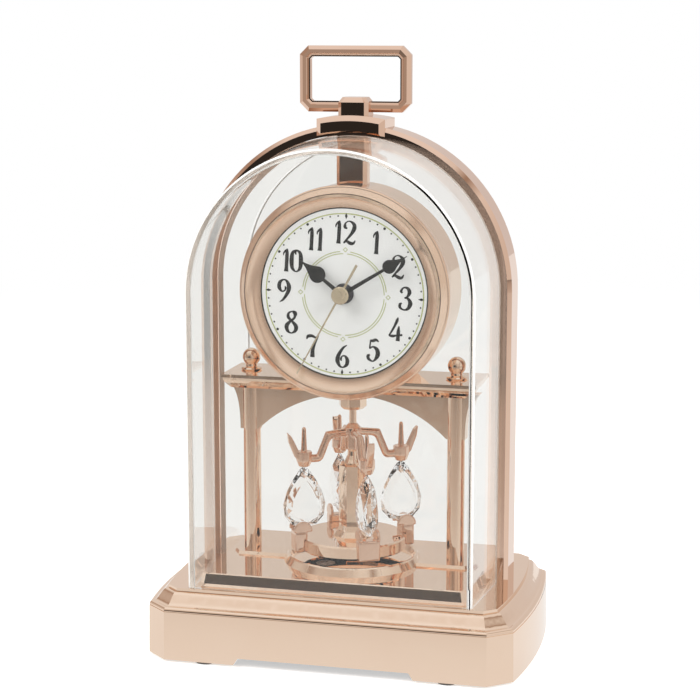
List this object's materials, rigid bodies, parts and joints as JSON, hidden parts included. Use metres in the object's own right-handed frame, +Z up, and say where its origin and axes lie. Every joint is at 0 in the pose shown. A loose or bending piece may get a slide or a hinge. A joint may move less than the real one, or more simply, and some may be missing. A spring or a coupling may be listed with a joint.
{
  "type": "desk pendulum clock",
  "caption": "Arched desk clock with a carry handle, a clear cover, a round dial head over a columned stand, and a revolving pendulum hung with faceted crystals over a mirror deck.",
  "frame": {"origin": "on the table, under the pendulum's axis and the middle of the base", "axes": "+Z up, +Y from the dial to the back, +X to the right as the dial is read"},
  "size_m": [0.156, 0.1, 0.243],
  "materials": {
    "rose_gold": "rose-gold plated, mirror bright",
    "rose_gold_metal": "rose-gold plated metal, mirror bright",
    "clear_cover": "clear moulded cover, polished",
    "mirror_floor": "rose tinted mirror",
    "crystal": "faceted clear crystal, polished",
    "dial_white": "satin white with printed numerals",
    "hand_black": "satin black",
    "hand_gold": "pale gold",
    "dark_plastic": "fine moulded texture",
    "movement_plastic": "moulded",
    "gear_nylon": "moulded natural nylon",
    "steel": "bright zinc",
    "rubber": "soft matte",
    "cell_wrap": "plain printed wrap",
    "board_green": "solder mask",
    "copper": "enamelled wire",
    "magnet": "nickel plated"
  },
  "bodies": {
    "case": {"base_shell": "rose_gold", "pendulum_tray": "rose_gold", "spandrels": "rose_gold", "entablature": "rose_gold", "finial_left": "rose_gold", "finial_right": "rose_gold", "arch_frame": "rose_gold", "keystone": "rose_gold", "carry_handle": "rose_gold", "handle_post": "rose_gold", "head_strap": "rose_gold", "drum_shell": "rose_gold", "bezel": "rose_gold", "suspension_bush": "rose_gold", "column_left": "rose_gold_metal", "column_right": "rose_gold_metal", "front_cover": "clear_cover", "mirror_deck": "mirror_floor", "dial": "dial_white", "base_bottom_plate": "dark_plastic", "drum_rear_cover": "dark_plastic", "movement_front_case": "movement_plastic", "movement_rear_case": "movement_plastic", "base_screws": "steel", "base_battery_contacts": "steel", "drum_rear_screws": "steel", "movement_screws": "steel", "movement_contacts": "steel", "stator": "steel", "rubber_feet": "rubber", "base_battery": "cell_wrap", "movement_battery": "cell_wrap", "drive_board": "board_green", "movement_board": "board_green", "drive_coil": "copper", "motor_coil": "copper"},
    "pendulum": {"pendulum_rod": "rose_gold_metal", "arm_spider": "rose_gold", "crystal_front": "crystal", "crystal_right": "crystal", "crystal_back": "crystal", "crystal_left": "crystal", "pendulum_pillar": "rose_gold", "pendulum_disc": "rose_gold_metal", "scroll_blocks": "rose_gold", "drive_magnets": "magnet"},
    "minute_set": {"cannon_pinion": "gear_nylon", "minute_hand": "hand_black"},
    "hour_set": {"hour_wheel": "gear_nylon", "hour_hand": "hand_black"},
    "minute_gear": {"minute_wheel": "gear_nylon"},
    "knob": {"setting_knob": "dark_plastic"},
    "second_set": {"seconds_wheel": "gear_nylon", "second_hand": "hand_gold"},
    "third_gear": {"third_wheel": "gear_nylon"},
    "centre_gear": {"centre_wheel": "gear_nylon"},
    "intermediate_gear": {"intermediate_wheel": "gear_nylon"},
    "motor_rotor": {"rotor": "magnet"},
    "back_cover": {"rear_cover": "clear_cover"},
    "battery_door": {"base_battery_door": "dark_plastic"}
  },
  "joints": [
    {"name": "pendulum_swing", "type": "hinge", "parent": "case", "child": "pendulum", "pos_m": [0, 0, 0.098], "axis": [0, 0, 1], "range_deg": [-150, 150]},
    {"name": "minute_turn", "type": "hinge", "parent": "case", "child": "minute_set", "pos_m": [0, -0.012, 0.1462], "axis": [0, 1, 0], "continuous": true},
    {"name": "hour_turn", "type": "hinge", "parent": "case", "child": "hour_set", "pos_m": [0, -0.012, 0.1462], "axis": [0, 1, 0], "continuous": true},
    {"name": "minute_wheel_turn", "type": "hinge", "parent": "case", "child": "minute_gear", "pos_m": [0.006, -0.012, 0.1462], "axis": [0, 1, 0], "continuous": true},
    {"name": "knob_turn", "type": "hinge", "parent": "case", "child": "knob", "pos_m": [0.009, -0.012, 0.1514], "axis": [0, 1, 0], "continuous": true},
    {"name": "second_turn", "type": "hinge", "parent": "case", "child": "second_set", "pos_m": [0, -0.012, 0.1462], "axis": [0, 1, 0], "continuous": true},
    {"name": "third_wheel_turn", "type": "hinge", "parent": "case", "child": "third_gear", "pos_m": [-0.0072, -0.012, 0.1462], "axis": [0, 1, 0], "continuous": true},
    {"name": "centre_wheel_turn", "type": "hinge", "parent": "case", "child": "centre_gear", "pos_m": [0, -0.012, 0.1462], "axis": [0, 1, 0], "continuous": true},
    {"name": "intermediate_turn", "type": "hinge", "parent": "case", "child": "intermediate_gear", "pos_m": [0, -0.012, 0.1522], "axis": [0, 1, 0], "continuous": true},
    {"name": "rotor_turn", "type": "hinge", "parent": "case", "child": "motor_rotor", "pos_m": [0, -0.012, 0.1578], "axis": [0, 1, 0], "continuous": true},
    {"name": "back_cover_slide", "type": "slide", "parent": "case", "child": "back_cover", "axis": [0, 1, 0], "range_m": [0, 0.03]},
    {"name": "battery_door_slide", "type": "slide", "parent": "case", "child": "battery_door", "axis": [1, 0, 0], "range_m": [0, 0.012]}
  ],
  "couplings": [
    {"joint": "hour_turn", "follows": "minute_turn", "ratio": 0.083333},
    {"joint": "minute_wheel_turn", "follows": "minute_turn", "ratio": -0.33333},
    {"joint": "knob_turn", "follows": "minute_turn", "ratio": 1},
    {"joint": "third_wheel_turn", "follows": "second_turn", "ratio": -0.125},
    {"joint": "centre_wheel_turn", "follows": "second_turn", "ratio": 0.016667},
    {"joint": "intermediate_turn", "follows": "second_turn", "ratio": -5},
    {"joint": "rotor_turn", "follows": "second_turn", "ratio": 30}
  ]
}
